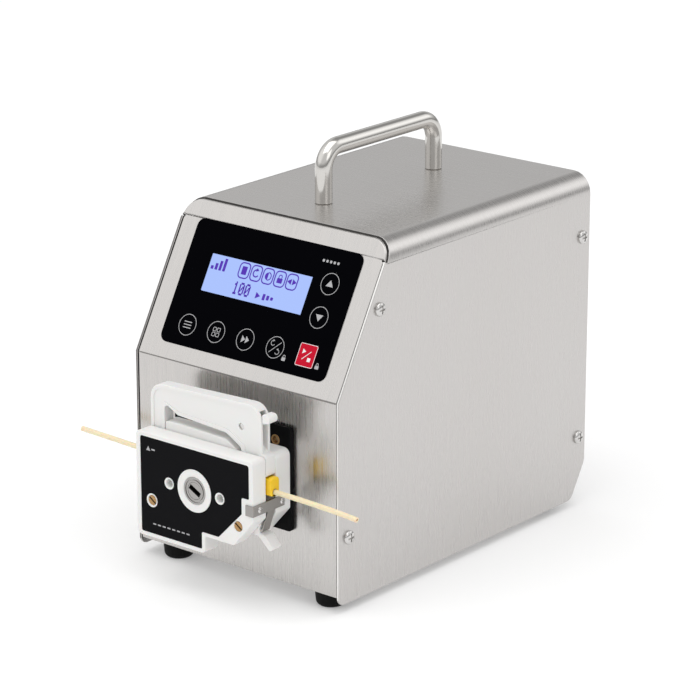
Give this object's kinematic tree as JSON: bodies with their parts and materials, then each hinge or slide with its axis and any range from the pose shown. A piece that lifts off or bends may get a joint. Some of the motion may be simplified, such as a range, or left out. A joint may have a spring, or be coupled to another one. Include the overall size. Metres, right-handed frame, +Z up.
{
  "type": "benchtop peristaltic pump",
  "caption": "Benchtop peristaltic pump: steel case with sloping keypad and display, carry handle, and a front roller head with a removable tube cartridge.",
  "frame": {"origin": "centre of the footprint on the bench, under the middle of the body without its loose tube ends", "axes": "+X to the right seen from the front, +Y from the pump head towards the back, +Z up"},
  "size_m": [0.2041, 0.2708, 0.2413],
  "materials": {
    "brushed_steel": "brushed stainless sheet with a fine vertical grain",
    "bright_steel": "polished stainless",
    "bearing_steel": "ground steel",
    "screw_steel": "nickel-plated screws",
    "foot_rubber": "matt moulded rubber",
    "overlay_black": "printed polyester film, satin gloss",
    "key_red": "printed polyester film, red",
    "display_blue": "backlit display glass",
    "board_green": "circuit board with components",
    "motor_black": "black motor with steel end caps",
    "brass": "turned brass",
    "black_plastic": "moulded plastic",
    "black_anodised": "black anodised plate, satin",
    "white_acetal": "machined white acetal",
    "silicone_tube": "translucent cream silicone",
    "yellow_clip": "moulded yellow plastic"
  },
  "bodies": {
    "case": {"cover": "brushed_steel", "front_panel": "brushed_steel", "rear_panel": "brushed_steel", "base_pan": "brushed_steel", "carry_handle": "bright_steel", "handle_screws": "screw_steel", "cover_screws": "screw_steel", "rubber_feet": "foot_rubber", "foot_screws": "screw_steel", "keypad_overlay": "overlay_black", "lcd_module": "display_blue", "control_board": "board_green", "stepper_motor": "motor_black", "motor_screws": "screw_steel", "power_supply": "board_green", "board_spacers": "brass", "inlet_socket": "black_plastic", "power_switch": "black_plastic", "control_port": "bright_steel", "adapter_plate": "black_anodised", "adapter_inserts": "brass", "head_rear_plate": "white_acetal", "head_front_plate": "white_acetal", "face_label": "overlay_black", "tie_rods": "bright_steel", "head_screws": "brass", "shaft_bearings": "bearing_steel", "latch_bracket": "bright_steel", "bracket_screws": "screw_steel", "release_spring": "bright_steel"},
    "rotor": {"drive_shaft": "bright_steel", "rotor_shaft": "bright_steel", "roller_carrier": "bearing_steel", "roller_pins": "bright_steel"},
    "cartridge": {"cartridge_frame": "white_acetal", "lever_pin": "bright_steel", "pump_tube": "silicone_tube", "tube_end_left": "silicone_tube", "tube_end_right": "silicone_tube", "tube_stops": "yellow_clip"},
    "pressing_block": {"pressing_block": "white_acetal"},
    "occlusion_lever": {"occlusion_lever": "white_acetal"},
    "release_lever": {"release_lever": "white_acetal"},
    "power_rocker": {"power_rocker": "black_plastic"},
    "roller_1": {"roller_1": "bright_steel"},
    "roller_2": {"roller_2": "bright_steel"},
    "roller_3": {"roller_3": "bright_steel"},
    "roller_4": {"roller_4": "bright_steel"},
    "roller_5": {"roller_5": "bright_steel"},
    "roller_6": {"roller_6": "bright_steel"},
    "key_menu": {"key_menu": "overlay_black"},
    "key_mode": {"key_mode": "overlay_black"},
    "key_fast": {"key_fast": "overlay_black"},
    "key_direction": {"key_direction": "overlay_black"},
    "key_run": {"key_run": "key_red"},
    "key_up": {"key_up": "overlay_black"},
    "key_down": {"key_down": "overlay_black"}
  },
  "joints": [
    {"name": "rotor_spin", "type": "hinge", "parent": "case", "child": "rotor", "pos_m": [0, -0.11935, 0.0654], "axis": [0, -1, 0], "continuous": true},
    {"name": "roller_1_spin", "type": "hinge", "parent": "rotor", "child": "roller_1", "pos_m": [0, -0.11935, 0.0824], "axis": [0, -1, 0], "continuous": true},
    {"name": "roller_2_spin", "type": "hinge", "parent": "rotor", "child": "roller_2", "pos_m": [0.01472, -0.11935, 0.0739], "axis": [0, -1, 0], "continuous": true},
    {"name": "roller_3_spin", "type": "hinge", "parent": "rotor", "child": "roller_3", "pos_m": [0.01472, -0.11935, 0.0569], "axis": [0, -1, 0], "continuous": true},
    {"name": "roller_4_spin", "type": "hinge", "parent": "rotor", "child": "roller_4", "pos_m": [0, -0.11935, 0.0484], "axis": [0, -1, 0], "continuous": true},
    {"name": "roller_5_spin", "type": "hinge", "parent": "rotor", "child": "roller_5", "pos_m": [-0.01472, -0.11935, 0.0569], "axis": [0, -1, 0], "continuous": true},
    {"name": "roller_6_spin", "type": "hinge", "parent": "rotor", "child": "roller_6", "pos_m": [-0.01472, -0.11935, 0.0739], "axis": [0, -1, 0], "continuous": true},
    {"name": "cartridge_swing", "type": "hinge", "parent": "case", "child": "cartridge", "pos_m": [-0.032, -0.11935, 0.0523], "axis": [0, -1, 0], "range_deg": [0, 40]},
    {"name": "occlusion_lever_turn", "type": "hinge", "parent": "cartridge", "child": "occlusion_lever", "pos_m": [0.0246, -0.11935, 0.1054], "axis": [0, 1, 0], "range_deg": [0, 41]},
    {"name": "pressing_block_slide", "type": "slide", "parent": "cartridge", "child": "pressing_block", "axis": [0, 0, 1], "range_m": [0, 0.0015]},
    {"name": "release_lever_turn", "type": "hinge", "parent": "case", "child": "release_lever", "pos_m": [0.032, -0.11935, 0.0523], "axis": [0, 1, 0], "range_deg": [0, 10], "stiffness_Nm_per_rad": 0.02, "springref_deg": -5.73},
    {"name": "power_rocker_turn", "type": "hinge", "parent": "case", "child": "power_rocker", "pos_m": [-0.04, 0.12635, 0.1], "axis": [-1, 0, 0], "range_deg": [0, 18]},
    {"name": "key_menu_press", "type": "slide", "parent": "case", "child": "key_menu", "axis": [0, 0.8721, -0.4893], "range_m": [0, 0.0003], "stiffness_N_per_m": 1500, "springref_m": -0.0003},
    {"name": "key_mode_press", "type": "slide", "parent": "case", "child": "key_mode", "axis": [0, 0.8721, -0.4893], "range_m": [0, 0.0003], "stiffness_N_per_m": 1500, "springref_m": -0.0003},
    {"name": "key_fast_press", "type": "slide", "parent": "case", "child": "key_fast", "axis": [0, 0.8721, -0.4893], "range_m": [0, 0.0003], "stiffness_N_per_m": 1500, "springref_m": -0.0003},
    {"name": "key_direction_press", "type": "slide", "parent": "case", "child": "key_direction", "axis": [0, 0.8721, -0.4893], "range_m": [0, 0.0003], "stiffness_N_per_m": 1500, "springref_m": -0.0003},
    {"name": "key_run_press", "type": "slide", "parent": "case", "child": "key_run", "axis": [0, 0.8721, -0.4893], "range_m": [0, 0.0003], "stiffness_N_per_m": 1500, "springref_m": -0.0003},
    {"name": "key_up_press", "type": "slide", "parent": "case", "child": "key_up", "axis": [0, 0.8721, -0.4893], "range_m": [0, 0.0003], "stiffness_N_per_m": 1500, "springref_m": -0.0003},
    {"name": "key_down_press", "type": "slide", "parent": "case", "child": "key_down", "axis": [0, 0.8721, -0.4893], "range_m": [0, 0.0003], "stiffness_N_per_m": 1500, "springref_m": -0.0003}
  ],
  "couplings": [
    {"joint": "roller_1_spin", "follows": "rotor_spin", "ratio": -4.4},
    {"joint": "roller_2_spin", "follows": "rotor_spin", "ratio": -4.4},
    {"joint": "roller_3_spin", "follows": "rotor_spin", "ratio": -4.4},
    {"joint": "roller_4_spin", "follows": "rotor_spin", "ratio": -4.4},
    {"joint": "roller_5_spin", "follows": "rotor_spin", "ratio": -4.4},
    {"joint": "roller_6_spin", "follows": "rotor_spin", "ratio": -4.4},
    {"joint": "occlusion_lever_turn", "follows": "pressing_block_slide", "rad_per_m": 465}
  ]
}
